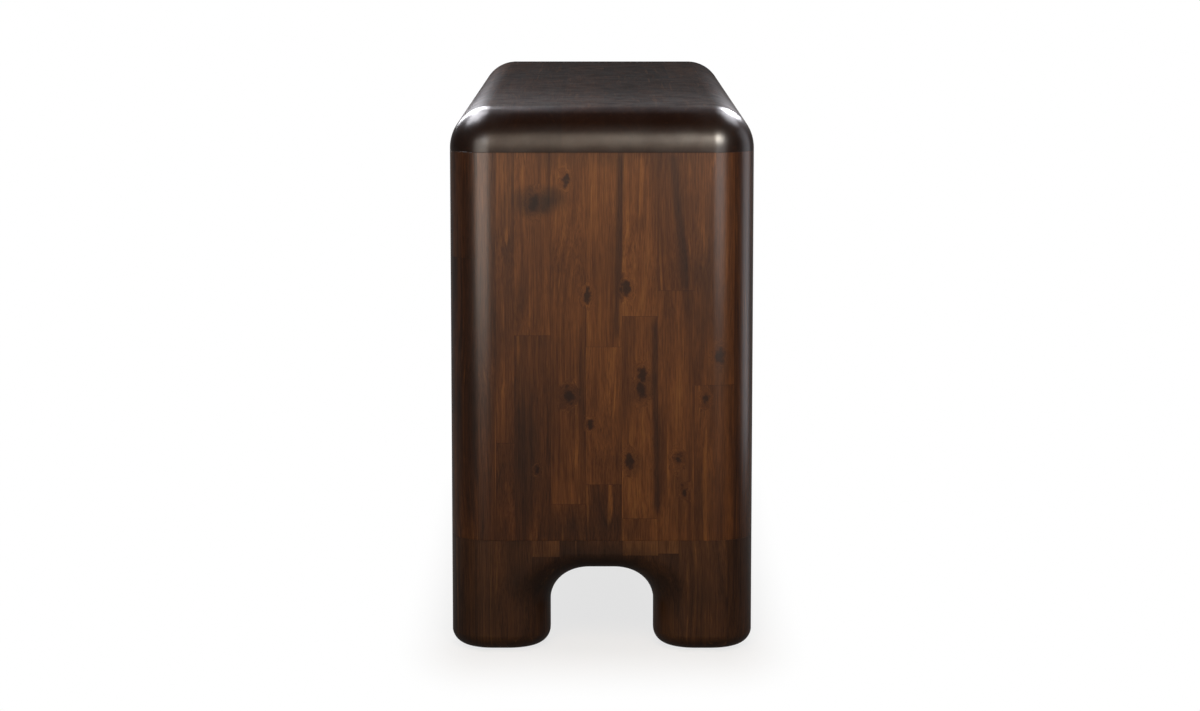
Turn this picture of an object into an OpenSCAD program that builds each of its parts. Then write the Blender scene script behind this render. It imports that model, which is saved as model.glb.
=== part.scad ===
// Six-drawer dresser: a rounded solid-wood case on two arched bases, with
// handle-less drawers on ball-bearing slides. Millimetres, front towards -Y,
// origin on the floor at the middle of the footprint.

/* [Case] */
// Overall length, left to right
length = 1524; // [1400:1:1700]
// Overall depth, front to back
depth = 457; // [445:1:500]
// Overall height, floor to top
height = 826; // [790:1:880]
// Rounding of the case's vertical corners and of the top's edges
edge_r = 64; // [52:1:66]
// Thickness of the top slab
top_t = 67; // [67:1:80]
// Depth of the two reliefs that lighten the top slab from below
top_relief = 36; // [10:1:45]
// Thickness of the end panels
end_t = 76; // [70:1:90]
// Thickness of the centre partition
partition_t = 30; // [24:1:40]

/* [Base] */
// Height of the base, floor to the underside of the end panels
base_h = 173; // [168:1:190]
// Size of each foot, along and across the case
foot_w = 150; // [140:1:160]
// Clear height under the arches
arch_h = 129; // [115:1:135]
// Radius of the arches' upper corners
arch_r = 60; // [40:1:70]
// Rounding of the feet's bottom edges and of the arches' crowns
foot_edge_r = 25; // [15:1:28]
// Thickness of the two long aprons between the bases
apron_t = 60; // [40:1:80]
// Thickness of the glides under the feet
glide_t = 3; // [2:0.5:5]
// Radius of the glides
glide_r = 30; // [15:1:38]
// Radius of the stems that hold the glides
glide_stem_r = 3; // [2:0.5:6]
// Length of those stems
glide_stem_len = 16; // [10:1:25]

/* [Panels and rails] */
// Thickness of the bottom panel
bottom_panel_t = 18; // [12:1:22]
// Width of the rebates that carry the bottom panel
bottom_rebate = 15; // [8:1:25]
// Thickness of the back panels
back_t = 8; // [5:1:12]
// How far the back panels sit in from the back of the case
back_inset = 10; // [4:1:16]
// Width of the end panels' rebates for the back panels
back_rebate = 12; // [8:1:16]
// Thickness of the rail behind the top of the back panels
back_rail_t = 14; // [10:1:15]
// Height of that rail
back_rail_h = 60; // [40:1:90]
// Thickness of the rails behind the drawer fronts, front to back
front_rail_t = 22; // [15:1:30]
// How far those rails reach past the finger gap, below and above it
front_rail_lap = [4, 2];
// Gap between the drawer fronts and those rails
front_rail_gap = 1; // [0.5:0.5:3]
// Depth of the housings that hold the partition in the top and the bottom panel
housing_d = 6; // [4:1:10]

/* [Drawer fronts] */
// Thickness of the drawer fronts
front_t = 22; // [18:1:26]
// Gap at each end of a drawer front
front_side_gap = 2; // [1:0.5:4]
// Gap under the lowest drawer fronts
front_bottom_gap = 3; // [2:0.5:6]
// Finger gap over each drawer front
finger_gap = 18; // [14:1:24]
// Width of the level lip in front of the finger bevel
finger_lip = 6; // [4:1:10]
// Rounding of the fronts' long outer edges
front_edge_r = 3; // [1:0.5:3.5]

/* [Drawer boxes] */
// Thickness of the boxes' sides, inner fronts and backs
box_t = 14; // [12:1:16]
// How far a box stays inside its front, above and below
box_margin = 12; // [10:1:20]
// Gap between a box and the rail behind it
box_back_gap = 3; // [2:0.5:6]
// Thickness of the boxes' bottoms
box_bottom_t = 6; // [4:1:9]
// Height of the bottoms' grooves above the boxes' lower edges
groove_up = 9; // [6:1:15]
// Depth of those grooves
groove_d = 6; // [4:1:8]
// Play of a bottom in its grooves
groove_play = 0.2; // [0.1:0.1:0.5]
// Dovetails at each corner of a box
tail_count = 3; // [2:1:4]
// Width of a dovetail at its wide end, as a share of its spacing
tail_wide = 0.62; // [0.5:0.01:0.7]
// Width of a dovetail at its root, as a share of its spacing
tail_root = 0.46; // [0.3:0.01:0.49]

/* [Drawer slides] */
// Space that a slide takes between a box and the case
slide_t = 12.7; // [12.5:0.1:13.5]
// Height of a slide
slide_h = 45.5; // [40:0.5:52]
// Thickness of the slides' steel
slide_sheet = 1.2; // [1:0.1:1.4]
// Running play between the members
slide_play = 0.4; // [0.3:0.05:0.5]
// Depth of the channel that the cabinet member makes
slide_channel = 10.4; // [10:0.1:11]
// Depth of the members' lips
slide_lip = 3.3; // [2.8:0.1:4]
// How far the slides sit behind the drawer fronts
slide_setback = 2; // [1:0.5:4]
// Radius of the screw holes in the slides' webs
slide_hole_r = 2.25; // [1.5:0.25:3]
// Places of those holes along a slide, as shares of its length
slide_hole_at = [0.09, 0.45, 0.82];

/* [Fasteners] */
// Radius of the case's dowels
dowel_r = 5; // [4:0.5:6]
// Length of the dowels
dowel_len = 50; // [40:1:60]
// Number of dowels along each joint of an end panel
dowel_count = 4; // [2:1:6]
// Radial play of the dowels in their holes
dowel_play = 0.1; // [0.1:0.05:0.2]
// Length of a back screw's shank
screw_len = 20; // [16:1:22]
// Radius of a back screw's shank
screw_r = 1.75; // [1.5:0.05:2.25]
// Radial play of the back screws in their holes
screw_play = 0.05; // [0.05:0.01:0.1]
// Radius of a back screw's head
screw_head_r = 4; // [3:0.1:5]
// Height of a back screw's head
screw_head_h = 2; // [1.5:0.1:3]
// Radius of the two holes that take a wall strap's screws
strap_hole_r = 2.5; // [2:0.1:3]
// Distance between those two holes
strap_spacing = 800; // [600:1:1000]

/* [Hidden] */
ROWS = ["bottom", "middle", "top"];
COLUMNS = ["left", "right"];
row_ids = [0:len(ROWS) - 1];
column_ids = [0:len(COLUMNS) - 1];
sides = [-1, 1];

// Names of the nodes that one drawer is made of, after its place in the case
DRAWER_PIECES = ["front", "inner_front", "sides", "back", "bottom", "runners"];
function place(row, column) = str(ROWS[row], "_", COLUMNS[column]);
function drawer_node(row, column, piece) = str("drawer_", place(row, column), "_", piece);
function slide_node(row, column) = str("slide_middles_", place(row, column));

half_l = length / 2;
half_d = depth / 2;
case_top = height - top_t;
overcut = 1;

// Clear space of one drawer column, between the partition and an end panel
column_x0 = partition_t / 2;
column_x1 = half_l - end_t;
column_w = column_x1 - column_x0;

// Planes of the back
back_face = half_d - back_inset;
back_inner = back_face - back_t;

// Drawer fronts, stacked from the top of the base
front_h = (case_top - base_h - front_bottom_gap - len(ROWS) * finger_gap) / len(ROWS);
front_back = -half_d + front_t;
function front_z(row) = base_h + front_bottom_gap + row * (front_h + finger_gap);

// Drawer boxes, hung between the slides
box_x0 = column_x0 + slide_t;
box_w = column_w - 2 * slide_t;
box_h = front_h - 2 * box_margin;
box_y1 = back_inner - back_rail_t - box_back_gap;
box_len = box_y1 - front_back;
function box_z(row) = front_z(row) + box_margin;
tail_pitch = box_h / tail_count;
function slide_z(row) = box_z(row) + box_h / 2;
slide_y0 = front_back + slide_setback;
slide_len = box_len;

// Where the bases end and the aprons and bottom panel begin
base_in = half_l - foot_w - arch_r;

stain = "#3a2216";
stain_light = "#4a2c1b";
box_wood = "#a8794f";
ply = "#8a6644";
zinc = "#b9bcc0";
nylon = "#26221f";

corner_fn = 48;
arch_steps = 9;
flare_steps = 8;
foot_steps = 6;

// A profile drawn in X and Z, run along Y from y0
module along_y(y0, run) {
    translate([0, y0 + run, 0]) rotate([90, 0, 0]) linear_extrude(run) children();
}

// A profile drawn in Y and Z, run along X from x0
module along_x(x0, run) {
    translate([x0, 0, 0]) rotate([90, 0, 90]) linear_extrude(run) children();
}

// What is drawn for the right-hand side, put on the side that is named
module on_side(side) {
    mirror([side < 0 ? 1 : 0, 0, 0]) children();
}

// What a quarter round of radius r takes off a corner at the origin, where the
// solid lies towards +X and +Y
module corner_waste(r) {
    difference() {
        translate([-overcut, -overcut]) square(r + overcut);
        translate([r, r]) circle(r, $fn = corner_fn);
    }
}

// Plan of the case's right-hand end, from x0 outwards, with its two round corners
module plan_end(x0) {
    intersection() {
        translate([x0, -half_d]) square([half_l - x0, depth]);
        union() {
            translate([0, -half_d]) square([half_l - edge_r, depth]);
            translate([0, -half_d + edge_r]) square([half_l, depth - 2 * edge_r]);
            for (side = sides) {
                translate([half_l - edge_r, side * (half_d - edge_r)]) circle(edge_r, $fn = corner_fn);
            }
        }
    }
}

// Dowel places in one end of the case, in plan
dowel_x = half_l - end_t / 2;
dowel_pitch = (depth - 2 * edge_r) / dowel_count;
dowel_ys = [for (i = [0:dowel_count - 1]) (i - (dowel_count - 1) / 2) * dowel_pitch];

// Dowels that join the aprons to the bases, end to end
apron_dowel_z = (arch_h + base_h - bottom_panel_t) / 2;
apron_dowel_at = [0.25, 0.65];
apron_dowel_ys = [for (side = sides, share = apron_dowel_at) side * (half_d - share * apron_t)];

module apron_dowel_holes() {
    for (y = apron_dowel_ys) {
        translate([base_in - dowel_len / 2 - dowel_play, y, apron_dowel_z]) rotate([0, 90, 0])
            cylinder(r = dowel_r + dowel_play, h = dowel_len + 2 * dowel_play, $fn = 24);
    }
}

module dowel_holes(z) {
    for (y = dowel_ys) {
        translate([dowel_x, y, z - dowel_len / 2 - dowel_play])
            cylinder(r = dowel_r + dowel_play, h = dowel_len + 2 * dowel_play, $fn = 24);
    }
}

// One corner of the top slab: a post whose upper edge is a quarter round
module top_corner() {
    rotate_extrude($fn = corner_fn)
        polygon(concat(
            [[0, 0], [edge_r, 0]],
            [for (i = [0:corner_fn / 4]) let (a = 360 * i / corner_fn)
                [edge_r * cos(a), top_t - edge_r + edge_r * sin(a)]]
        ));
}

// Margin of the top slab's reliefs, all round
relief_margin = 20;
relief_y = half_d - edge_r - relief_margin;

module top_slab() {
    color(stain) difference() {
        hull() for (sx = sides, sy = sides) {
            translate([sx * (half_l - edge_r), sy * (half_d - edge_r), case_top]) top_corner();
        }
        for (side = sides) on_side(side) {
            translate([column_x0 + relief_margin, -relief_y, case_top - overcut])
                cube([column_w - 2 * relief_margin, 2 * relief_y, top_relief + overcut]);
            dowel_holes(case_top);
        }
        partition_tongue(case_top - overcut, housing_d + overcut);
    }
}

// The partition's tongue, or the housing that holds it: from z up by h
module partition_tongue(z, h) {
    y = apron_inner;
    translate([-partition_t / 2, -y, z]) cube([partition_t, 2 * y, h]);
}

// Holes for the back screws, on the right-hand side of the case
screw_edge = 6;
screw_rows = 5;
rail_screws = 3;
screw_low = 30;
screw_high = 12;
screw_z0 = base_h + screw_low;
screw_z1 = case_top - screw_high;
screw_end_x = column_x1 + back_rebate / 2;
function screw_places() = concat(
    [for (i = [0:screw_rows - 1], x = [screw_edge, screw_end_x])
        [x, screw_z0 + i * (screw_z1 - screw_z0) / (screw_rows - 1)]],
    [for (i = [1:rail_screws])
        [screw_edge + i * (screw_end_x - screw_edge) / (rail_screws + 1), case_top - back_rail_h / 2]]
);

module back_screw_holes() {
    for (p = screw_places()) {
        translate([p[0], back_face + overcut, p[1]]) rotate([90, 0, 0])
            cylinder(r = screw_r + screw_play, h = screw_len + overcut + screw_play, $fn = 24);
    }
}

module end_panel() {
    color(stain_light) difference() {
        translate([0, 0, base_h]) linear_extrude(case_top - base_h) plan_end(column_x1);
        translate([column_x1 - overcut, back_inner, base_h - overcut])
            cube([back_rebate + overcut, depth, case_top - base_h + 2 * overcut]);
        dowel_holes(base_h);
        dowel_holes(case_top);
        back_screw_holes();
    }
}

// Radius of the rounding along an arch: the case's own radius beside the foot,
// where a is 0, easing to the small one at the crown, where a is 90
function arch_edge(a) = let (s = a / 90) edge_r + (foot_edge_r - edge_r) * s * s * (3 - 2 * s);

// How far that rounding opens the arch at depth t behind the face
function arch_flare(a, t) = let (w = arch_edge(a)) t < w ? w - sqrt(w * w - (w - t) * (w - t)) : 0;

// Outline of an arch's opening at depth t, from the foot on the right round to the left
function arch_corner(span, t) = [
    for (i = [0:arch_steps]) let (a = 90 * i / arch_steps, r = arch_r + arch_flare(a, t))
        [span / 2 - arch_r + r * cos(a), arch_h - arch_r + r * sin(a)]
];
function arch_outline(span, t) = let (right = arch_corner(span, t)) concat(
    [[right[0][0], -overcut]],
    right,
    [for (i = [arch_steps:-1:0]) [-right[i][0], right[i][1]]],
    [[-right[0][0], -overcut]]
);

// The opening of an arch, lofted from just outside the face back to a given run.
// Its mouth flares, so that what is left round it has a rolled edge.
module arch_cutter(span, run) {
    depths = concat([-overcut], [for (i = [0:flare_steps]) edge_r * (1 - cos(90 * i / flare_steps))], [run]);
    rings = len(depths);
    n = len(arch_outline(span, 0));
    points = [for (d = depths, p = arch_outline(span, max(0, min(d, edge_r)))) [p[0], p[1], d]];
    polyhedron(points, concat(
        [[for (k = [0:n - 1]) k], [for (k = [n - 1:-1:0]) (rings - 1) * n + k]],
        [for (j = [0:rings - 2], k = [0:n - 1])
            let (a = j * n + k, b = j * n + (k + 1) % n) each [[a, a + n, b + n], [a, b + n, b]]]
    ));
}

// A foot's lower end: four quarter-round corner posts, wrapped
foot_seam = 0.2;
module foot_end() {
    r = edge_r + foot_seam;
    hull() for (sx = sides, sy = sides) {
        translate([sx * (foot_w / 2 - edge_r), sy * (foot_w / 2 - edge_r), glide_t])
            rotate_extrude($fn = 32)
                polygon(concat(
                    [[0, 0]],
                    [for (i = [0:foot_steps]) let (a = 90 * i / foot_steps)
                        [r - foot_edge_r + foot_edge_r * sin(a), foot_edge_r * (1 - cos(a))]],
                    [[0, foot_edge_r]]
                ));
    }
}

end_span = 2 * (half_d - foot_w);
front_span = 2 * (half_l - foot_w);

module arch_base() {
    color(stain) difference() {
        intersection() {
            linear_extrude(base_h) plan_end(base_in);
            union() {
                for (side = sides) {
                    translate([half_l - foot_w / 2, side * (half_d - foot_w / 2), 0]) foot_end();
                }
                translate([0, -depth, glide_t + foot_edge_r - foot_seam]) cube([length, 2 * depth, base_h]);
            }
        }
        translate([half_l, 0, 0]) rotate([90, 0, -90]) arch_cutter(end_span, half_l);
        translate([0, -half_d, 0]) rotate([90, 0, 180]) arch_cutter(front_span, half_d + overcut);
        translate([0, half_d, 0]) rotate([90, 0, 0]) arch_cutter(front_span, half_d + overcut);
        for (side = sides) {
            inner_foot_corner(side);
            translate([half_l - foot_w / 2, side * (half_d - foot_w / 2), 0])
                cylinder(r = glide_stem_r + dowel_play, h = glide_t + glide_stem_len + dowel_play, $fn = 24);
        }
        translate([base_in - overcut, -apron_inner - bottom_rebate, base_h - bottom_panel_t])
            cube([bottom_rebate + overcut, 2 * (apron_inner + bottom_rebate), bottom_panel_t + overcut]);
        dowel_holes(base_h);
        apron_dowel_holes();
    }
}

// The foot's corner that faces the middle of the floor under the case
module inner_foot_corner(side) {
    translate([half_l - foot_w, side * (half_d - foot_w), -overcut])
        linear_extrude(arch_h + overcut) mirror([0, side < 0 ? 1 : 0]) corner_waste(edge_r);
}

apron_inner = half_d - apron_t;

// Long rail between the bases, drawn for the back and turned for the front
module apron() {
    color(stain) difference() {
        along_x(-base_in, 2 * base_in) difference() {
            translate([apron_inner, arch_h]) square([apron_t, base_h - arch_h]);
            translate([half_d, arch_h]) mirror([1, 0]) corner_waste(foot_edge_r);
        }
        translate([-half_l, apron_inner - overcut, base_h - bottom_panel_t])
            cube([length, bottom_rebate + overcut, bottom_panel_t + overcut]);
        for (side = sides) on_side(side) apron_dowel_holes();
    }
}

module front_apron() {
    mirror([0, 1, 0]) apron();
}

module back_apron() {
    apron();
}

module bottom_panel() {
    x = base_in + bottom_rebate;
    y = apron_inner + bottom_rebate;
    color(ply) difference() {
        translate([-x, -y, base_h - bottom_panel_t]) cube([2 * x, 2 * y, bottom_panel_t]);
        partition_tongue(base_h - housing_d, housing_d + overcut);
    }
}

module centre_partition() {
    color(stain_light) difference() {
        union() {
            translate([-partition_t / 2, -half_d, base_h])
                cube([partition_t, half_d + back_inner, case_top - base_h]);
            partition_tongue(base_h - housing_d, case_top - base_h + 2 * housing_d);
        }
        for (side = sides) on_side(side) back_screw_holes();
        back_rail_space();
    }
}

module back_rail_space() {
    translate([-column_x1, back_inner - back_rail_t, case_top - back_rail_h])
        cube([2 * column_x1, back_rail_t + overcut, back_rail_h + overcut]);
}

module strap_holes() {
    for (side = sides) {
        translate([side * strap_spacing / 2, half_d, case_top - back_rail_h / 2]) rotate([90, 0, 0])
            cylinder(r = strap_hole_r, h = half_d, $fn = 24);
    }
}

module back_panel() {
    color(ply) difference() {
        translate([0, back_inner, base_h])
            cube([column_x1 + back_rebate, back_t, case_top - base_h]);
        back_screw_holes();
        strap_holes();
    }
}

module back_rail() {
    color(stain_light) difference() {
        translate([-column_x1, back_inner - back_rail_t, case_top - back_rail_h])
            cube([2 * column_x1, back_rail_t, back_rail_h]);
        for (side = sides) on_side(side) back_screw_holes();
        strap_holes();
    }
}

// The rails that close the finger gaps from behind, one over each drawer front
module front_rails() {
    y0 = front_back + front_rail_gap;
    color(stain) for (side = sides, row = row_ids) on_side(side) {
        z0 = front_z(row) + front_h - front_rail_lap[0];
        z1 = row == len(ROWS) - 1 ? case_top : front_z(row + 1) + front_rail_lap[1];
        translate([column_x0, y0, z0]) cube([column_w, front_rail_t, z1 - z0]);
    }
}

module foot_glides() {
    color(nylon) for (sx = sides, sy = sides) {
        translate([sx * (half_l - foot_w / 2), sy * (half_d - foot_w / 2), 0]) {
            cylinder(r = glide_r, h = glide_t, $fn = 48);
            cylinder(r = glide_stem_r, h = glide_t + glide_stem_len, $fn = 24);
        }
    }
}

module back_screws() {
    color(zinc) for (side = sides) on_side(side) for (p = screw_places()) {
        translate([p[0], back_face, p[1]]) {
            rotate([-90, 0, 0]) cylinder(r = screw_head_r, h = screw_head_h, $fn = 24);
            rotate([90, 0, 0]) cylinder(r = screw_r, h = screw_len, $fn = 24);
        }
    }
}

module case_dowels() {
    color(box_wood) for (side = sides) on_side(side) {
        for (z = [base_h, case_top], y = dowel_ys) {
            translate([dowel_x, y, z - dowel_len / 2]) cylinder(r = dowel_r, h = dowel_len, $fn = 24);
        }
        for (y = apron_dowel_ys) {
            translate([base_in - dowel_len / 2, y, apron_dowel_z]) rotate([0, 90, 0])
                cylinder(r = dowel_r, h = dowel_len, $fn = 24);
        }
    }
}

// Half heights of the slides' three nested members, and where each begins
// across the slide, counted from the case
cabinet_h = slide_h / 2;
middle_h = cabinet_h - slide_sheet - slide_play;
runner_h = middle_h - slide_lip - slide_play;
middle_u = slide_sheet + slide_play;
runner_u = middle_u + slide_sheet + slide_play;

// A lipped channel: web at u0, flanges out to u1, lips turned in
module lipped_channel(u0, u1, h) {
    difference() {
        translate([u0, -h]) square([u1 - u0, 2 * h]);
        translate([u0 + slide_sheet, -h + slide_sheet])
            square([u1 - u0 - 2 * slide_sheet, 2 * (h - slide_sheet)]);
        translate([u1 - slide_sheet - overcut, -h + slide_lip])
            square([slide_sheet + 2 * overcut, 2 * (h - slide_lip)]);
    }
}

module cabinet_profile() {
    lipped_channel(0, slide_channel, cabinet_h);
}

module middle_profile() {
    lipped_channel(middle_u, slide_channel - slide_sheet - slide_play, middle_h);
}

// A hat: its web lies on the drawer box, and its lips stay inside the middle member
module runner_profile() {
    lip_h = middle_h - slide_sheet - slide_play;
    difference() {
        union() {
            translate([runner_u, -runner_h]) square([slide_t - runner_u, 2 * runner_h]);
            translate([runner_u, -lip_h]) square([slide_sheet, 2 * lip_h]);
        }
        translate([runner_u - overcut, -runner_h + slide_sheet])
            square([slide_t - runner_u - slide_sheet + overcut, 2 * (runner_h - slide_sheet)]);
    }
}

// The screw holes through a member's web
module slide_holes() {
    for (share = slide_hole_at) {
        translate([-overcut, slide_y0 + share * slide_len, 0]) rotate([0, 90, 0])
            cylinder(r = slide_hole_r, h = slide_t + 2 * overcut, $fn = 24);
    }
}

// The child member, put on both flanks of a drawer column
module slide_pair(row, column) {
    on_side(sides[column]) translate([0, 0, slide_z(row)]) {
        translate([column_x0, 0, 0]) children();
        translate([column_x1, 0, 0]) mirror([1, 0, 0]) children();
    }
}

module slide_cabinet_members() {
    color(zinc) for (row = row_ids, column = column_ids) slide_pair(row, column) difference() {
        along_y(slide_y0, slide_len) cabinet_profile();
        slide_holes();
    }
}

module slide_middles(row, column) {
    color(zinc) slide_pair(row, column) along_y(slide_y0, slide_len) middle_profile();
}

module drawer_runners(row, column) {
    color(zinc) slide_pair(row, column) difference() {
        along_y(slide_y0, slide_len) runner_profile();
        slide_holes();
    }
}

// An inset front whose top edge falls away behind a narrow lip, for the fingers
module drawer_front(row, column) {
    z = front_z(row);
    fall = front_t - finger_lip;
    color(stain_light) on_side(sides[column])
        along_x(column_x0 + front_side_gap, column_w - 2 * front_side_gap) difference() {
            polygon([
                [-half_d, z],
                [-half_d, z + front_h],
                [-half_d + finger_lip, z + front_h],
                [front_back, z + front_h - fall],
                [front_back, z]
            ]);
            translate([-half_d, z]) corner_waste(front_edge_r);
            translate([-half_d, z + front_h]) mirror([0, 1]) corner_waste(front_edge_r);
        }
}

// The dovetails of one end of a box side, in Y and Z: tips at y_tip, roots at y_root
module tails(row, y_tip, y_root) {
    for (i = [0:tail_count - 1]) {
        z = box_z(row) + (i + 0.5) * tail_pitch;
        wide = tail_wide * tail_pitch / 2;
        root = tail_root * tail_pitch / 2;
        polygon([[y_tip, z - wide], [y_root, z - root], [y_root, z + root], [y_tip, z + wide]]);
    }
}

// The space of a box's bottom, with play all round
module bottom_space(row, play) {
    x = box_x0 + box_t - groove_d;
    y = front_back + box_t - groove_d;
    translate([x + groove_play - play, y + groove_play - play, box_z(row) + groove_up - play])
        cube([
            box_w - 2 * (box_t - groove_d + groove_play - play),
            box_len - 2 * (box_t - groove_d + groove_play - play),
            box_bottom_t + 2 * play
        ]);
}

module drawer_sides(row, column) {
    color(box_wood) on_side(sides[column]) difference() {
        for (x = [box_x0, box_x0 + box_w - box_t]) along_x(x, box_t) union() {
            translate([front_back + box_t, box_z(row)]) square([box_len - 2 * box_t, box_h]);
            tails(row, front_back, front_back + box_t);
            tails(row, box_y1, box_y1 - box_t);
        }
        bottom_space(row, groove_play);
    }
}

// A cross board of a box, with the sockets that the sides' dovetails fill
module cross_board(row, y0, y_tip, y_root) {
    difference() {
        translate([box_x0, y0, box_z(row)]) cube([box_w, box_t, box_h]);
        for (x = [box_x0 - overcut, box_x0 + box_w - box_t]) {
            along_x(x, box_t + overcut) tails(row, y_tip, y_root);
        }
        bottom_space(row, groove_play);
    }
}

module drawer_inner_front(row, column) {
    color(box_wood) on_side(sides[column])
        cross_board(row, front_back, front_back, front_back + box_t);
}

module drawer_back(row, column) {
    color(box_wood) on_side(sides[column])
        cross_board(row, box_y1 - box_t, box_y1, box_y1 - box_t);
}

module drawer_bottom(row, column) {
    color(ply) on_side(sides[column]) bottom_space(row, 0);
}

top_slab();
on_side(-1) end_panel();  // end_panel_left
on_side(1) end_panel();  // end_panel_right
on_side(-1) arch_base();  // arch_base_left
on_side(1) arch_base();  // arch_base_right
front_apron();
back_apron();
bottom_panel();
centre_partition();
on_side(-1) back_panel();  // back_panel_left
on_side(1) back_panel();  // back_panel_right
back_rail();
front_rails();
slide_cabinet_members();
foot_glides();
back_screws();
case_dowels();
for (row = row_ids, column = column_ids) {
    drawer_front(row, column);
    drawer_inner_front(row, column);
    drawer_sides(row, column);
    drawer_back(row, column);
    drawer_bottom(row, column);
    drawer_runners(row, column);
    slide_middles(row, column);
}
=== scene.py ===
import math
import random
from bisect import bisect

import bmesh
import bpy
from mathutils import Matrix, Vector


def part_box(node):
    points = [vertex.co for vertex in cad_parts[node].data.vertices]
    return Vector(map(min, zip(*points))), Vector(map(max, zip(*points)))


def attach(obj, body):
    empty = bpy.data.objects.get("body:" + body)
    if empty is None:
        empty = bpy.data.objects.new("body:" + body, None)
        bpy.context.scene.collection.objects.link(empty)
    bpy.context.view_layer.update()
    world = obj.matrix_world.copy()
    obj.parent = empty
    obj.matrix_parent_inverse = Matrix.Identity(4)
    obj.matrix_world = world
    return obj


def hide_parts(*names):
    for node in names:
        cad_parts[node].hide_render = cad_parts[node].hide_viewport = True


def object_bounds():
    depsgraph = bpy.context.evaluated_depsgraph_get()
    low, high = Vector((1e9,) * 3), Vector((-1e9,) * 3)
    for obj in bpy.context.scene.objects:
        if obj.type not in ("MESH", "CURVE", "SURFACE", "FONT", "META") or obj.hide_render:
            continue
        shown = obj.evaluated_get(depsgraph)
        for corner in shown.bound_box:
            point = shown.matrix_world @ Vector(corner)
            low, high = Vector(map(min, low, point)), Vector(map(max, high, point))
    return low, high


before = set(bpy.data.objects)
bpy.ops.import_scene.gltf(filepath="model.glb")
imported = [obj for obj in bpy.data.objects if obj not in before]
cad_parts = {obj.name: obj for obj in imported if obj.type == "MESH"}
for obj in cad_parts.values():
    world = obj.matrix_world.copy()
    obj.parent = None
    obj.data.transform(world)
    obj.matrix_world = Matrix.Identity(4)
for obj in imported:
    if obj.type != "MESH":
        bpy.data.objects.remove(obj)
cad_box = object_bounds()
scene = bpy.context.scene
scene.view_settings.view_transform = "Standard"

# The camera stands almost five metres off the dresser's right-hand end, a
# little above its top, with a long lens. The front is at the picture's left.
half_length, half_depth, height = cad_box[1]
camera_away, camera_side, camera_height = 4.845, 0.0003, 1.1195
camera_down, camera_turn = 7.808, 0.037
camera_data = bpy.data.cameras.new("camera")
camera_data.sensor_width = 36.0
camera_data.lens = 98.02
camera = bpy.data.objects.new("camera", camera_data)
camera.location = (half_length + camera_away, camera_side, camera_height)
camera.rotation_euler = (math.radians(90 - camera_down), 0, math.radians(90 + camera_turn))
scene.collection.objects.link(camera)
scene.camera = camera

# Arched bases: at each end two feet and the arch between them, in one block
# glued up from upright staves. The block is rounded over at its corners, and
# the mouths of its arches are rolled to the same radius as the feet.
edge_r = 0.064
foot_w = 0.150
foot_edge_r = 0.025
arch_h = 0.129
arch_r = 0.060
bottom_rebate = 0.015
panel_t = 0.018
apron_t = 0.060
round_steps = 20
ease = 0.0004
foot_wrap = 0.0002
overcut = 0.001
overshoot = 0.01
stave_w = 0.054
block_low, block_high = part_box("arch_base_right")
base_in, glide_t, base_h = block_low.x, block_low.z, block_high.z


def new_piece(name, mesh=None):
    """A new piece at the origin, with its place in its mesh, which is empty unless one is given."""
    piece = bpy.data.objects.new(name, mesh or bpy.data.meshes.new(name))
    scene.collection.objects.link(piece)
    return piece


def quarter(steps=round_steps):
    """The angles of a quarter turn, in equal steps."""
    return [math.radians(90 * i / steps) for i in range(steps + 1)]


def loft(name, rings):
    """A closed solid through a stack of rings that have as many points each."""
    bm = bmesh.new()
    rows = [[bm.verts.new(point) for point in ring] for ring in rings]
    for low, high in zip(rows, rows[1:]):
        for i in range(len(low)):
            bm.faces.new((low[i - 1], low[i], high[i], high[i - 1]))
    bm.faces.new(rows[0][::-1])
    bm.faces.new(rows[-1])
    bmesh.ops.recalc_face_normals(bm, faces=bm.faces)
    piece = new_piece(name)
    bm.to_mesh(piece.data)
    bm.free()
    return piece


def rounded(corners, inset=0.0):
    """The outline through right-angled corners (x, y, radius), each with its quarter round."""
    points = []
    for i, (x, y, r) in enumerate(corners):
        here = Vector((x, y))
        back = (Vector(corners[i - 1][:2]) - here).normalized()
        onward = (Vector(corners[(i + 1) % len(corners)][:2]) - here).normalized()
        if r == 0:
            points.append(here + (back + onward) * inset)
            continue
        centre = here + (back + onward) * r
        for a in quarter():
            points.append(centre - (onward * math.cos(a) + back * math.sin(a)) * (r - inset))
    return points


def upright(name, corners, z0, z1, eased=0.0):
    """A post or panel of that plan, with its upper and lower edges just eased."""
    levels = [(z0, 0), (z1, 0)]
    if eased:
        levels = [(z0, eased), (z0 + eased, 0), (z1 - eased, 0), (z1, eased)]
    return loft(name, [[(p.x, p.y, z) for p in rounded(corners, inset)] for z, inset in levels])


def block(x0, x1, y0, y1, z0, z1):
    """A plain square block, which only serves to cut others."""
    corners = [(x0, y0, 0), (x1, y0, 0), (x1, y1, 0), (x0, y1, 0)]
    return upright("cutter", corners, z0, z1)


def settle(piece):
    """Turns a piece and its modifiers into one plain mesh."""
    graph = bpy.context.evaluated_depsgraph_get()
    worked = bpy.data.meshes.new_from_object(piece.evaluated_get(graph))
    piece.modifiers.clear()
    piece.data = worked


def combine(piece, other, operation):
    """Joins, cuts or trims a piece with another, which is used up."""
    change = piece.modifiers.new("combine", "BOOLEAN")
    change.object = other
    change.operation = operation
    change.solver = "EXACT"
    settle(piece)
    bpy.data.objects.remove(other)


def arch_flare(turn, depth):
    """How far an arch's mouth opens at that depth: turn is 0 beside a foot and 90 at the crown."""
    share = turn / 90
    edge = edge_r + (foot_edge_r - edge_r) * share * share * (3 - 2 * share)
    return edge - math.sqrt(edge * edge - (edge - depth) ** 2) if depth < edge else 0.0


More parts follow.
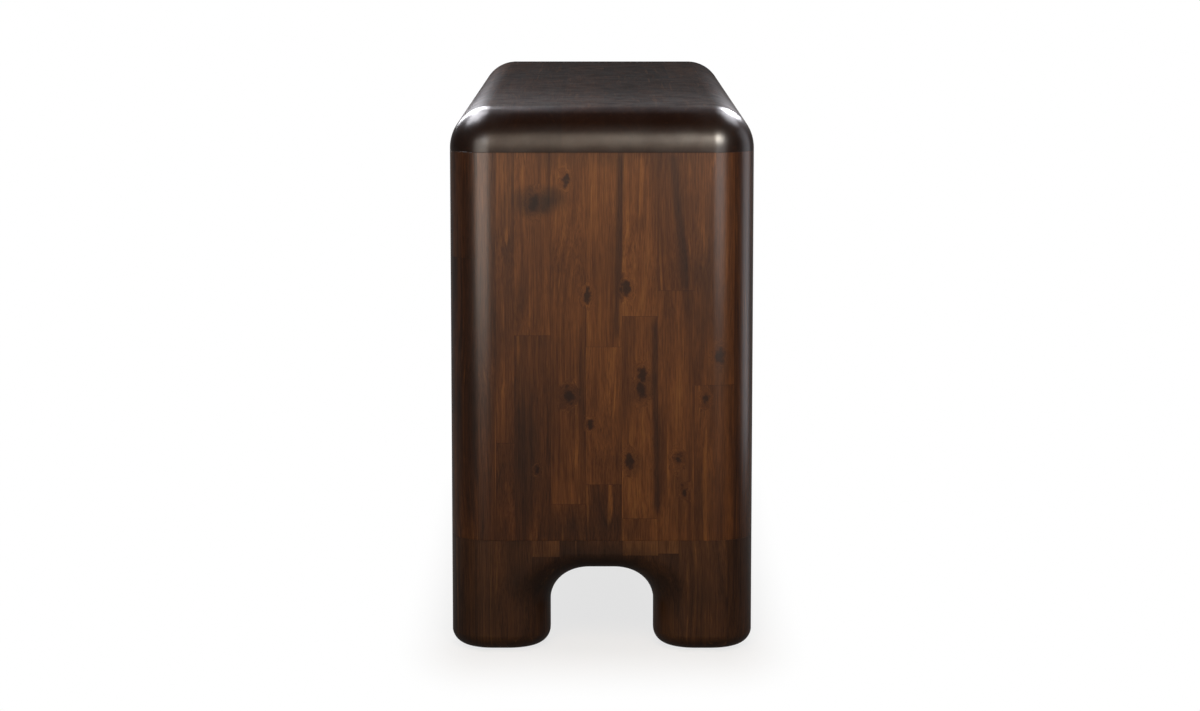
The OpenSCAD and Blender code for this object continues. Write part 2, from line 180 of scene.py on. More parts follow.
def arch_outline(span, depth):
    """The outline of an arch's opening at that depth, as points across and up."""
    corner = []
    for i in range(round_steps + 1):
        turn = 90 * i / round_steps
        r = arch_r + arch_flare(turn, depth)
        a = math.radians(turn)
        corner.append((span / 2 - arch_r + r * math.cos(a), arch_h - arch_r + r * math.sin(a)))
    half = [(corner[0][0], -overcut)] + corner
    return half + [(-across, up) for across, up in half[::-1]]


def arch_cutter(span, run, place):
    """The opening of an arch; place turns across, up and depth into a point."""
    steps = [edge_r * (1 - math.cos(a)) for a in quarter()]
    rings = []
    for depth in [-overcut] + steps + [run]:
        outline = arch_outline(span, min(max(depth, 0.0), edge_r))
        rings.append([place(across, up, depth) for across, up in outline])
    return loft("cutter", rings)


def foot_end(side):
    """A foot with a round bottom edge, a hair wider than the block, so that only that edge cuts."""
    x0, x1 = half_length - foot_w - foot_wrap, half_length + foot_wrap
    y0, y1 = sorted((side * (half_depth - foot_w - foot_wrap), side * (half_depth + foot_wrap)))
    r = edge_r + foot_wrap
    corners = [(x0, y0, r), (x1, y0, r), (x1, y1, r), (x0, y1, r)]
    rings = []
    for a in quarter():
        z = glide_t + foot_edge_r * (1 - math.cos(a))
        rings.append([(p.x, p.y, z) for p in rounded(corners, foot_edge_r * (1 - math.sin(a)))])
    rings.append([(x, y, base_h / 2) for x, y, _ in rings[-1]])
    return loft("foot", rings)


def end_plan(x0, rebate=0.0):
    """Plan of the case's right-hand end from x0 outwards, with a rebate at its inner back corner."""
    corners = [(x0, -half_depth, 0), (half_length, -half_depth, edge_r), (half_length, half_depth, edge_r)]
    if rebate:
        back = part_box("back_panel_right")[0].y
        return corners + [(x0 + rebate, half_depth, 0), (x0 + rebate, back, 0), (x0, back, 0)]
    return corners + [(x0, half_depth, 0)]


def arch_block(name):
    """The right-hand base, cut out as its real block is."""
    made = upright(name, end_plan(base_in), 0, base_h)
    body = block(0, 2 * half_length, -half_depth * 2, half_depth * 2,
                 glide_t + foot_edge_r - foot_wrap, base_h + overshoot)
    for side in (-1, 1):
        combine(body, foot_end(side), "UNION")
    combine(made, body, "INTERSECT")
    opening = arch_cutter(2 * (half_depth - foot_w), half_length, lambda u, v, t: (half_length - t, u, v))
    combine(made, opening, "DIFFERENCE")
    for side in (-1, 1):
        opening = arch_cutter(2 * (half_length - foot_w), half_depth + overcut,
                              lambda u, v, t: (u, side * (half_depth - t), v))
        combine(made, opening, "DIFFERENCE")

    # The inner corner of each foot is rounded like its outer one
    for side in (-1, 1):
        x, y = half_length - foot_w, side * (half_depth - foot_w)
        y0, y1 = sorted((y - side * overcut, y + side * edge_r))
        waste = block(x - overcut, x + edge_r, y0, y1, -overcut, arch_h)
        turns = [math.tau * k / (4 * round_steps) for k in range(4 * round_steps)]
        circle = [(x + edge_r * (1 + math.cos(a)), y + edge_r * (side + math.sin(a))) for a in turns]
        post = loft("cutter", [[(px, py, z) for px, py in circle] for z in (-overshoot, arch_h + overshoot)])
        combine(waste, post, "DIFFERENCE")
        combine(made, waste, "DIFFERENCE")

    rebate_y = half_depth - apron_t + bottom_rebate
    combine(made, block(base_in - overshoot, base_in + bottom_rebate, -rebate_y, rebate_y,
                        base_h - panel_t, base_h + overshoot), "DIFFERENCE")
    return made


seam_w = 0.0007
shortest_stave = 0.12
pith_across, pith_away = 0.03, 0.09


def cut(bm, axis, at, faces):
    """Cuts some of a mesh's faces along a plane square to an axis."""
    parts = set(faces)
    for face in faces:
        parts.update(face.verts)
        parts.update(face.edges)
    normal = Vector((0, 0, 0))
    normal[axis] = 1
    bmesh.ops.bisect_plane(bm, geom=list(parts), dist=1e-7, plane_co=normal * at, plane_no=normal)


def stave_layout(rng, sides, ends, width, longest):
    """Glue lines between two sides, and the butt joints that each stave has between its ends."""
    low, high = sides
    count = max(1, round((high - low) / width))
    lines = [low + (high - low) * (i + rng.uniform(-0.08, 0.08)) / count for i in range(1, count)]
    joints = []
    for _ in range(count):
        at = ends[0] + rng.uniform(0.15, 0.95) * longest
        row = []
        while at < ends[1] - shortest_stave:
            row.append(at)
            at += longest * rng.uniform(0.5, 1.0)
        joints.append(row)
    return lines, joints


def glue_up(piece, across, along, layout, rng, tones=None, tone_range=(0.25, 0.75)):
    """Cuts a piece's skin along its glue lines, and gives each stave a tone, a seed and a pith.

    The pith is a point on the line that a stave's growth rings go round."""
    lines, joints = layout
    bm = bmesh.new()
    bm.from_mesh(piece.data)
    for line in lines:
        for edge in (-seam_w / 2, seam_w / 2):
            cut(bm, across, line + edge, bm.faces[:])
    for number, row in enumerate(joints):
        for at in row:
            for edge in (-seam_w / 2, seam_w / 2):
                stave = [f for f in bm.faces if bisect(lines, f.calc_center_median()[across]) == number]
                cut(bm, along, at + edge, stave)
    tone_layer = bm.faces.layers.float.new("tone")
    seed_layer = bm.faces.layers.float.new("seed")
    seam_layer = bm.faces.layers.float.new("seam")
    pith_layer = bm.faces.layers.float_vector.new("pith")
    low = [min(v.co[i] for v in bm.verts) for i in range(3)]
    high = [max(v.co[i] for v in bm.verts) for i in range(3)]
    third = 3 - across - along
    edges = [low[across]] + lines + [high[across]]
    staves = {}
    for number in range(len(lines) + 1):
        for part in range(len(joints[number]) + 1):
            pith = [0.0, 0.0, 0.0]
            middle = (edges[number] + edges[number + 1]) / 2
            pith[across] = middle + rng.uniform(-pith_across, pith_across)
            pith[third] = rng.choice((low[third], high[third])) + rng.uniform(-pith_away, pith_away)
            tone = rng.uniform(*tone_range)
            if tones:
                tone = tones[number][part]
            staves[number, part] = (tone, rng.random(), Vector(pith))
    for face in bm.faces:
        centre = face.calc_center_median()
        number = bisect(lines, centre[across])
        row = joints[number]
        part = bisect(row, centre[along])
        face[tone_layer], face[seed_layer], face[pith_layer] = staves[number, part]
        gaps = [abs(centre[across] - line) for line in lines] + [abs(centre[along] - at) for at in row]
        face[seam_layer] = 1.0 if gaps and min(gaps) < seam_w / 2 else 0.0
    bm.to_mesh(piece.data)
    bm.free()


def glue_by_chance(piece, across, along, sides, ends, width, longest, seed, tone_range=(0.25, 0.75)):
    """Glues a piece up from staves of about one width, butted end to end by chance."""
    rng = random.Random(seed)
    layout = stave_layout(rng, sides, ends, width, longest)
    glue_up(piece, across, along, layout, rng, tone_range=tone_range)


def smooth_skin(piece, sharpest=35):
    """Shades the round surfaces smooth and keeps the flat ones flat."""
    piece.data.shade_smooth()
    piece.data.set_sharp_from_angle(angle=math.radians(sharpest))
    change = piece.modifiers.new("shading", "WEIGHTED_NORMAL")
    change.keep_sharp = True
    settle(piece)


def feed(node, inputs):
    """Sets a node's inputs; each is a number, a colour or another node's output."""
    for key, value in inputs.items():
        if isinstance(value, bpy.types.NodeSocket):
            node.id_data.links.new(value, node.inputs[key])
        else:
            node.inputs[key].default_value = value


def put(kind, inputs=None, tree=None, **settings):
    """The outputs of a new node, in the tree that its inputs come from unless one is named."""
    inputs = inputs or {}
    tree = tree or next(value.id_data for value in inputs.values() if isinstance(value, bpy.types.NodeSocket))
    made = tree.nodes.new(kind)
    for key, value in settings.items():
        setattr(made, key, value)
    feed(made, inputs)
    return made.outputs


def calc(operation, a, b=0.0, c=0.0):
    """One step of arithmetic."""
    return put("ShaderNodeMath", {0: a, 1: b, 2: c}, operation=operation)[0]


def times(a, b):
    """Two numbers multiplied."""
    return calc("MULTIPLY", a, b)


def vary(base, share, pattern):
    """Moves a number up and down by a share of a pattern that runs from 0 to 1."""
    return calc("MULTIPLY_ADD", calc("SUBTRACT", pattern, 0.5), share, base)


def fade(value, start, end, low=0.0, high=1.0):
    """Goes smoothly from low to high as value goes from start to end."""
    return put("ShaderNodeMapRange", {0: value, 1: start, 2: end, 3: low, 4: high},
               interpolation_type="SMOOTHSTEP")[0]


def vector_calc(operation, a, b):
    """One step of arithmetic on places."""
    return put("ShaderNodeVectorMath", {0: a, 1: b}, operation=operation)[0]


def stretch(place, by):
    """A place with each of its numbers multiplied."""
    return vector_calc("MULTIPLY", place, by)


def size_of(place):
    """How far a place is from zero."""
    return put("ShaderNodeVectorMath", {0: place}, operation="LENGTH")["Value"]


def split(place):
    """The three numbers of a place."""
    return put("ShaderNodeSeparateXYZ", {0: place})


def join(x=0.0, y=0.0, z=0.0):
    """A place from three numbers."""
    return put("ShaderNodeCombineXYZ", {0: x, 1: y, 2: z})[0]


def where(tree, kind="Object"):
    """Where on its piece a point is, or with "Normal" which way it faces."""
    return put("ShaderNodeTexCoord", tree=tree)[kind]


def noise(place, fineness, detail=2.0, roughness=0.5, output="Fac"):
    """Soft noise between 0 and 1; its fineness is a number, or one for each direction."""
    if isinstance(fineness, tuple):
        place, fineness = stretch(place, fineness), 1.0
    return put("ShaderNodeTexNoise", {"Vector": place, "Scale": fineness, "Detail": detail,
                                      "Roughness": roughness})[output]


def swirl(place, fineness, detail=2.0):
    """Soft noise between -0.5 and 0.5 in each direction, to push places about."""
    return vector_calc("SUBTRACT", noise(place, fineness, detail, output="Color"), (0.5, 0.5, 0.5))


def blend(share, a, b, kind="MIX"):
    """Mixes two colours."""
    return put("ShaderNodeMix", {0: share, 6: a, 7: b}, data_type="RGBA", blend_type=kind)[2]


def colour_ramp(value, stops):
    """A run of colours, as (place, red, green, blue)."""
    colour = put("ShaderNodeValToRGB", {0: value})[0]
    ramp = colour.node.color_ramp
    while len(ramp.elements) < len(stops):
        ramp.elements.new(0.5)
    for element, (at, red, green, blue) in zip(ramp.elements, stops):
        element.position = at
        element.color = (red, green, blue, 1)
    return colour


def turned(place, grain):
    """A place with the grain's axis as its Z."""
    if grain == 2:
        return place
    parts = split(place)
    return join(*[parts[k] for k in {0: (2, 1, 0), 1: (0, 2, 1)}[grain]])


def attribute(tree, name, output="Fac"):
    """A number or a place that glue_up left on the faces."""
    return put("ShaderNodeAttribute", tree=tree, attribute_name=name)[output]


def emboss(shader, height, strength, distance, socket="Normal"):
    """Lets a pattern stand out on a skin, or on its lacquer."""
    feed(shader, {socket: put("ShaderNodeBump", {"Height": height, "Strength": strength,
                                                 "Distance": distance})[0]})


def new_finish(name):
    """A new material, with its shader."""
    made = bpy.data.materials.new(name)
    made.use_nodes = True
    return made, made.node_tree, made.node_tree.nodes["Principled BSDF"]


knot_r = 0.0065
knot_cells = 7.5
knot_swirl = 3.4
growth_rings = ((0.0075, 0.030), (0.0031, 0.016))
stain_stops = [
    (0.00, 0.010, 0.0045, 0.0027), (0.22, 0.030, 0.0115, 0.0048), (0.45, 0.066, 0.0245, 0.0083),
    (0.62, 0.106, 0.0400, 0.0122), (0.80, 0.160, 0.0640, 0.0183), (1.00, 0.240, 0.1050, 0.0313),
]
sapwood = (0.260, 0.105, 0.027)
dark_heart = (0.020, 0.0085, 0.0050, 1)
# Colour of the dark clouds, both stain blotches and painted shade
blotch_and_shade_colour = (0.016, 0.0085, 0.0055, 1)
knot_rim = (0.150, 0.050, 0.0140, 1)
knot_middle = (0.014, 0.0065, 0.0042, 1)
soaked_end = (0.010, 0.0050, 0.0034, 1)
glue_line = (0.012, 0.006, 0.004, 1)


def knot_nearness(place, spot, knots):
    """1 at a knot's middle, fading out unevenly over its swirl."""
    ragged = stretch(swirl(spot, 100.0, 4.0), (0.016, 0.016, 0.030))
    if knots:
        near = 0.0
        moved = vector_calc("ADD", place, ragged)
        for centre, size in knots:
            away = size_of(stretch(vector_calc("SUBTRACT", moved, centre), (0, 1, 0.6)))
            near = calc("MAXIMUM", near, fade(away, size * knot_swirl, 0.0))
        return near
    moved = stretch(vector_calc("ADD", spot, ragged), (1, 1, 0.6))
    cells = put("ShaderNodeTexVoronoi", {"Vector": moved, "Scale": knot_cells})
    chance = split(cells["Color"])[0]
    reach = fade(chance, 0.35, 0.95, 0.001, knot_r * knot_swirl * knot_cells * 1.4)
    return calc("SUBTRACT", 1.0, calc("MINIMUM", calc("DIVIDE", cells["Distance"], reach), 1.0))


def heartwood(place, spot, figure, hearts):
    """Dark heartwood: by chance along some staves, and where hearts says."""
    dark = fade(noise(spot, (16, 16, 0.8), 1.0), 0.66, 0.78, 0.0, 0.72)
    for start, end, width in hearts:
        run = [end[i] - start[i] for i in range(3)]
        along = split(vector_calc("SUBTRACT", place, start))
        lean = calc("MULTIPLY_ADD", along[2], -run[1] / run[2], along[1])
        across_it = fade(calc("ABSOLUTE", vary(lean, width * 1.6, figure)), width, width * 0.2)
        from_middle = calc("ABSOLUTE", calc("SUBTRACT", along[2], run[2] / 2))
        within = fade(from_middle, abs(run[2]) * 0.5, abs(run[2]) * 0.42)
        dark = calc("MAXIMUM", dark, times(across_it, within))
    return dark


def blotches_and_shade(place, clouds):
    """Dark clouds: blotches of stain, and painted shade where shade falls."""
    darkening = 0.0
    moved = vector_calc("ADD", place, stretch(swirl(place, 24.0, 4.0), (0, 0.045, 0.045)))
    for centre, reach_y, reach_z, strength in clouds:
        away = size_of(stretch(vector_calc("SUBTRACT", moved, centre), (0, 1 / reach_y, 1 / reach_z)))
        darkening = calc("MAXIMUM", darkening, fade(away, 1.0, 0.1, 0.0, strength))
    return darkening


def rubbed_lacquer(place, facing):
    """A top's lacquer, duller on its flat and in the middle of its end edges."""
    on_piece = split(place)
    flat_on = times(fade(facing[2], 0.25, 0.80), fade(calc("ABSOLUTE", facing[0]), 0.22, 0.03))
    near_end = fade(on_piece[0], half_length - 0.60, half_length - 0.07, 1.0, 0.72)
    round_over = times(fade(facing[2], 0.50, 0.66), fade(facing[2], 0.91, 0.81))
    mid_edge = fade(calc("ABSOLUTE", on_piece[1]), 0.168, 0.122)
    sealed = calc("MULTIPLY_ADD", times(round_over, mid_edge), -0.16, 0.25)
    sealed = calc("MULTIPLY_ADD", times(flat_on, near_end), -0.17, sealed)
    return times(sealed, fade(noise(place, 30.0, 3.0, 0.6), 0.3, 0.7, 0.80, 1.15))


def stained_wood(name, grain, knots=(), hearts=(), clouds=(), tint=(1, 1, 1), streaks=1.0,
                 end_dark=0.42, rubbed=False):
    """Dark stained acacia under satin lacquer, for pieces that glue_up has cut into staves.

    knots are (place, radius), hearts (place at one end, place at the other, half its width)
    and clouds (place, reach in Y, reach in Z, strength) of stain blotches and painted shade, all where they
    are on the piece.
    A piece without knots of its own gets them by chance. tint multiplies the stain's colour,
    and streaks its fine grain. A rubbed piece has the top's lacquer."""
    material, tree, shader = new_finish(name)
    place = where(tree)
    seed = attribute(tree, "seed")
    local = turned(vector_calc("SUBTRACT", place, attribute(tree, "pith", "Vector")), grain)
    spot = vector_calc("ADD", local, join(*[times(seed, far) for far in (3.1, 5.7, 13.3)]))

    # Growth rings round the pith, pushed aside by slow waves and by knots
    near = knot_nearness(place, spot, knots)
    drift = stretch(swirl(spot, (6, 6, 1.7)), (0.075, 0.075, 0))
    radius = size_of(stretch(vector_calc("ADD", local, drift), (1, 1, 0)))
    swollen = calc("MULTIPLY_ADD", calc("POWER", near, 1.5), 0.034, radius)

    # Fibres and pores, which follow the rings sideways and run far along the grain
    ringwise = join(swollen, *split(spot)[1:3])
    figure = noise(ringwise, (95, 40, 3.2), 4.0, 0.66)
    fibre = noise(ringwise, (420, 420, 9), 3.0, 0.65)
    pores = noise(ringwise, (1300, 1300, 45))
    cloud = noise(spot, (9, 9, 4), 2.0, 0.55)
    stain_cloud = noise(place, 3.6, 3.0, 0.6)
    tone = attribute(tree, "tone")
    for share, pattern in ((0.78 * streaks, figure), (0.54 * streaks, fibre), (0.38, cloud),
                           (0.28, stain_cloud)):
        tone = vary(tone, share, pattern)
    for width, share in growth_rings:
        tone = calc("MULTIPLY_ADD", calc("SINE", times(swollen, math.tau / width)), share, tone)
    colour = colour_ramp(tone, [(at, r * tint[0], g * tint[1], b * tint[2]) for at, r, g, b in stain_stops])

    # Heartwood, a few pale streaks of sapwood, and dark clouds of stain blotches and painted shade
    dark = heartwood(place, spot, figure, hearts)
    colour = blend(times(dark, 0.72), colour, dark_heart)
    pale = fade(noise(ringwise, (160, 90, 2.2)), 0.60, 0.75)
    pale = times(pale, fade(dark, 0.0, 0.6, 0.45 * streaks, 0.0))
    colour = blend(pale, colour, (*[c * share for c, share in zip(sapwood, tint)], 1))
    if clouds:
        colour = blend(blotches_and_shade(place, clouds), colour, blotch_and_shade_colour)

    # Knots are dark in the middle, with a warm rim
    colour = blend(fade(near, 0.15, 0.55, 0.0, 0.12), colour, knot_rim)
    colour = blend(fade(near, 0.44, 0.92, 0.0, 0.88), colour, knot_middle)
    colour = blend(1.0, colour, fade(pores, 0.30, 0.60, 0.62, 1.08), "MULTIPLY")

    # End grain drinks more stain, and the glue lines show as hairlines
    facing = split(where(tree, "Normal"))
    end_grain = fade(calc("ABSOLUTE", facing[grain]), 0.10, 0.65, 0.0, end_dark)
    colour = blend(end_grain, colour, soaked_end)
    colour = blend(times(attribute(tree, "seam"), 0.5), colour, glue_line)
    feed(shader, {"Base Color": colour, "Specular IOR Level": 0.0, "Roughness": 0.6,
                  "Coat Weight": 0.28, "Coat Roughness": 0.28})
    if rubbed:
        feed(shader, {"Coat Weight": rubbed_lacquer(place, facing)})
    emboss(shader, calc("MULTIPLY_ADD", fibre, 0.6, times(pores, 0.4)), 0.12, 0.0006)
    emboss(shader, figure, 0.006 if rubbed else 0.012, 0.0006, "Coat Normal")
    return material


def mirrored(piece, name):
    """A copy of a right-hand piece for the left-hand end."""
    mesh = piece.data.copy()
    for vertex in mesh.vertices:
        vertex.co.x = -vertex.co.x
    mesh.flip_normals()
    return new_piece(name, mesh)


def stand_for(piece, node, material, body="case"):
    """Finishes a piece and puts it in its node's place."""
    smooth_skin(piece)
    piece.data.materials.clear()
    piece.data.materials.append(material)
    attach(piece, body)
    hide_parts(node)


# Painted shade on the bases: dark clouds over each arch's crown and beside its mouth, and low on the feet,
# where shade falls
base_painted_shade = [((half_length, y, z), reach_y, reach_z, share) for y, z, reach_y, reach_z, share in (
    (0.0, 0.138, 0.130, 0.036, 0.84), (-0.108, 0.100, 0.046, 0.064, 0.76), (0.104, 0.098, 0.040, 0.060, 0.62),
    (0.150, 0.085, 0.045, 0.050, 0.35), (-0.170, 0.060, 0.040, 0.080, 0.30),
)]
base_stain_and_shade = stained_wood("base_stain_and_shade", grain=2, clouds=base_painted_shade, tint=(0.93, 1.06, 1.25), streaks=0.70)
right_base = arch_block("arched_base_right")
left_base = mirrored(right_base, "arched_base_left")
right_base_layout = (
    [-0.184, -0.143, -0.105, -0.064, -0.018, 0.031, 0.085, 0.116, 0.163, 0.190],
    [[], [], [], [0.148], [], [], [0.150], [0.153], [], [], []],
)
right_base_tones = [[0.28], [0.42], [0.30], [0.34, 0.58], [0.36], [0.34], [0.42, 0.64], [0.38, 0.62], [0.42],
                    [0.44], [0.30]]
glue_up(right_base, 1, 2, right_base_layout, random.Random(11), right_base_tones)
glue_by_chance(left_base, 1, 2, (-half_depth, half_depth), (0.0, base_h), stave_w, longest=0.4, seed=12)
stand_for(right_base, "arch_base_right", base_stain_and_shade)
stand_for(left_base, "arch_base_left", base_stain_and_shade)

# Glides: four dark nylon discs, whose stems are pressed into the feet. Their
# faces are a little scuffed.


def dress(nodes, material):
    """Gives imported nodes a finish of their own."""
    for name in nodes:
        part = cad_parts[name]
        if not part.material_slots:
            part.data.materials.append(material)
        for entry in part.material_slots:
            entry.material = material


glide_finish, tree, shader = new_finish("glide_nylon")
scuffs = noise(where(tree), 240.0, 4.0, 0.6)
feed(shader, {"Base Color": colour_ramp(scuffs, [(0.3, 0.010, 0.009, 0.008), (0.7, 0.022, 0.019, 0.017)]),
              "Roughness": fade(scuffs, 0.3, 0.7, 0.45, 0.65)})
emboss(shader, noise(where(tree), 900.0), 0.2, 0.0003)
dress(["foot_glides"], glide_finish)

# Aprons: two long rails, glued up from staves laid end to end and dowelled
# between the bases. Their lower outer edges are rounded like the arches.
long_stain = stained_wood("long_stain", grain=0, tint=(0.92, 0.96, 1.04), streaks=0.80)


def long_piece(name, x0, x1, profile):
    """A piece of one profile along X, with just eased ends; profile is (y, z) points."""
    middle = sum((Vector(p) for p in profile), Vector((0, 0))) / len(profile)
    shrunk = [Vector(p) + (middle - Vector(p)).normalized() * ease for p in profile]
    rings = [(x0, shrunk), (x0 + ease, profile), (x1 - ease, profile), (x1, shrunk)]
    return loft(name, [[(x, p[0], p[1]) for p in points] for x, points in rings])


for name, side, seed in (("front_apron", -1, 21), ("back_apron", 1, 22)):
    y0, y1 = side * (half_depth - apron_t), side * half_depth
    rebate_y = side * (half_depth - apron_t + bottom_rebate)
    corners = [(y0, arch_h, 0), (y1, arch_h, foot_edge_r), (y1, base_h, 0), (rebate_y, base_h, 0),
               (rebate_y, base_h - panel_t, 0), (y0, base_h - panel_t, 0)]
    apron = long_piece(name + "_rail", -base_in, base_in, [tuple(p) for p in rounded(corners)])
    glue_by_chance(apron, 2, 0, (arch_h, base_h), (-base_in, base_in), width=0.06, longest=0.55, seed=seed,
                   tone_range=(0.3, 0.55))
    stand_for(apron, name, long_stain)

# Bottom panel and back panels: plywood, stained once, with a matt face. The
# bottom lies in rebates of the bases and aprons, and the backs in the ends'.


def panel_finish(name, grain, stops):
    """Stained or bare plywood: slow veneer figure, and fibres along the grain."""
    material, tree, shader = new_finish(name)
    along = turned(where(tree), grain)
    wave = noise(along, (2.2, 2.2, 0.9), output="Color")
    bent = vector_calc("ADD", stretch(along, (26, 26, 1.4)), stretch(wave, (2.4, 2.4, 0)))
    fibre = noise(along, (500, 500, 14), 3.0, 0.6)
    tone = vary(noise(bent, 1.0, 4.0, 0.6), 0.45, fibre)
    feed(shader, {"Base Color": colour_ramp(tone, stops), "Roughness": 0.62, "Specular IOR Level": 0.03})
    emboss(shader, fibre, 0.15, 0.0005)
    return material


stained_ply_stops = [(0.30, 0.030, 0.014, 0.008), (0.50, 0.060, 0.029, 0.015), (0.72, 0.105, 0.055, 0.028)]
dress(["bottom_panel"], panel_finish("bottom_ply", 0, stained_ply_stops))
dress(["back_panel_left", "back_panel_right"], panel_finish("back_ply", 2, stained_ply_stops))

# End panels: 76 mm thick slabs of upright staves, edge-glued and butted end to
# end, then rounded at both corners to the radius of the feet. Dowels hold them.
case_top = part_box("end_panel_right")[1].z
column_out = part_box("end_panel_right")[0].x
back_rebate = 0.012
right_end_knots = [((half_length, y, z), r) for y, z, r in (
    (-0.054, 0.719, 0.0044), (-0.101, 0.684, 0.0060), (-0.021, 0.545, 0.0050), (0.036, 0.556, 0.0052),
    (-0.050, 0.394, 0.0058), (0.060, 0.428, 0.0052), (0.060, 0.402, 0.0058), (-0.018, 0.352, 0.0034),
    (0.176, 0.455, 0.0052), (0.156, 0.389, 0.0042), (0.042, 0.296, 0.0055), (0.114, 0.298, 0.0048),
    (0.125, 0.250, 0.0036), (-0.097, 0.282, 0.0030),
)]
# Dark clouds on the right-hand end: stain blotches, with painted shade in the broad band along its top under
# the seam
right_end_clouds_and_shade = [((half_length, y, z), reach_y, reach_z, share) for y, z, reach_y, reach_z, share in (
    (-0.093, 0.687, 0.062, 0.031, 0.86), (-0.02, 0.772, 0.26, 0.048, 0.5), (0.16, 0.575, 0.042, 0.15, 0.42),
    (-0.114, 0.31, 0.034, 0.16, 0.5), (-0.052, 0.392, 0.03, 0.034, 0.45), (-0.02, 0.184, 0.1, 0.064, 0.54),
    (0.062, 0.404, 0.022, 0.04, 0.45), (0.18, 0.44, 0.03, 0.06, 0.35), (0.045, 0.29, 0.026, 0.04, 0.4),
    (0.115, 0.25, 0.03, 0.08, 0.28), (0.155, 0.225, 0.025, 0.075, 0.3),
)]
right_end_hearts = [((half_length, y0, z0), (half_length, y1, z1), width) for y0, z0, y1, z1, width in (
    (0.029, 0.770, 0.022, 0.470, 0.0085), (0.106, 0.765, 0.125, 0.545, 0.0090),
    (0.079, 0.520, 0.083, 0.205, 0.0070), (-0.197, 0.740, -0.196, 0.180, 0.0140),
)]
right_end_layout = (
    [-0.186, -0.159, -0.131, -0.077, -0.024, 0.030, 0.083, 0.139, 0.199],
    [[0.60], [], [0.322], [0.485], [0.229], [0.259, 0.468], [0.207, 0.514], [0.553], [0.41], []],
)
right_end_tones = [[0.28, 0.32], [0.40], [0.42, 0.50], [0.42, 0.62], [0.44, 0.58], [0.50, 0.64, 0.60],
                   [0.70, 0.60, 0.66], [0.58, 0.54], [0.54, 0.54], [0.32]]
right_end = upright("end_slab_right", end_plan(column_out, back_rebate), base_h, case_top, ease)
left_end = mirrored(right_end, "end_slab_left")
glue_up(right_end, 1, 2, right_end_layout, random.Random(31), right_end_tones)
glue_by_chance(left_end, 1, 2, (-half_depth, half_depth), (base_h, case_top), stave_w, longest=0.42, seed=32,
               tone_range=(0.38, 0.66))
right_end_stain_and_shade = stained_wood("right_end_stain_and_shade", grain=2, knots=right_end_knots, hearts=right_end_hearts,
                               clouds=right_end_clouds_and_shade)
stand_for(right_end, "end_panel_right", right_end_stain_and_shade)
stand_for(left_end, "end_panel_left", stained_wood("end_stain", grain=2))

# Centre partition and rails: plain stained boards. The partition sits in
# housings of the top and bottom, and the rails close the finger gaps.


def board_finish(name, grain, stops, coat, width=0.06):
    """Solid boards edge-glued from strips, each strip with its own tone."""
    material, tree, shader = new_finish(name)
    along = turned(where(tree), grain)
    parts = split(along)
    strips = join(*[calc("FLOOR", calc("DIVIDE", parts[i], width)) for i in (0, 1)])
    chance = put("ShaderNodeTexWhiteNoise", {"Vector": strips})
    moved = vector_calc("ADD", along, stretch(chance["Color"], (0, 0, 3)))
    wave = noise(moved, (7, 7, 1.6), output="Color")
    bent = vector_calc("ADD", moved, stretch(wave, (0.03, 0.03, 0)))
    figure = noise(bent, (130, 130, 3), 3.0, 0.6)
    fibre = noise(bent, (900, 900, 20), 3.0, 0.6)
    colour = colour_ramp(vary(vary(figure, 0.30, chance["Value"]), 0.40, fibre), stops)
    facing = split(where(tree, "Normal"))
    end_grain = fade(calc("ABSOLUTE", facing[grain]), 0.55, 0.98, 0.0, 0.35)
    colour = blend(end_grain, colour, (*[c * 0.45 for c in stops[0][1:]], 1))
    feed(shader, {"Base Color": colour, "Specular IOR Level": 0.0, "Roughness": 0.55,
                  "Coat Weight": coat, "Coat Roughness": 0.3})
    emboss(shader, fibre, 0.12, 0.0005)
    return material


stained_board_stops = [(0.25, 0.030, 0.012, 0.006), (0.50, 0.072, 0.028, 0.012), (0.75, 0.125, 0.052, 0.021)]
dress(["centre_partition"], board_finish("partition_stain", 2, stained_board_stops, coat=0.15))
dress(["back_rail", "front_rails"], board_finish("rail_stain", 0, stained_board_stops, coat=0.15))

# Back screws: round-headed steel screws with a cross recess, driven through
# the back panels into the ends, the partition and the back rail.


def shape_tree(name, *sizes):
    """A node tree that makes a shape, and its inputs: the sizes and a finish."""
    tree = bpy.data.node_groups.new(name, "GeometryNodeTree")
    inputs = {"Geometry": "Geometry", **dict.fromkeys(sizes, "Float"), "Finish": "Material"}
    for label, kind in inputs.items():
        tree.interface.new_socket(label, in_out="INPUT", socket_type="NodeSocket" + kind)
    tree.interface.new_socket("Geometry", in_out="OUTPUT", socket_type="NodeSocketGeometry")
    return tree, put("NodeGroupInput", tree=tree)


def moved_up(geometry, rise):
    """A shape, raised."""
    return put("GeometryNodeTransform", {"Geometry": geometry, "Translation": join(z=rise)})[0]


def together(shapes):
    """Several shapes as one."""
    made = put("GeometryNodeJoinGeometry", tree=shapes[0].id_data)[0]
    for shape in shapes:
        feed(made.node, {0: shape})
    return made


def finish_shape(geometry, given):
    """Ends a node tree with plain meshes in their finish."""
    real = put("GeometryNodeRealizeInstances", {0: geometry})[0]
    done = put("GeometryNodeSetMaterial", {"Geometry": real, "Material": given["Finish"]})[0]
    put("NodeGroupOutput", {0: done})


def grow(piece, tree, values):
    """Runs a node tree on a piece and keeps the plain mesh that comes out."""
    change = piece.modifiers.new("shape", "NODES")
    change.node_group = tree
    for item in tree.interface.items_tree:
        if item.in_out == "INPUT" and item.name in values:
            change[item.identifier] = values[item.name]
    settle(piece)


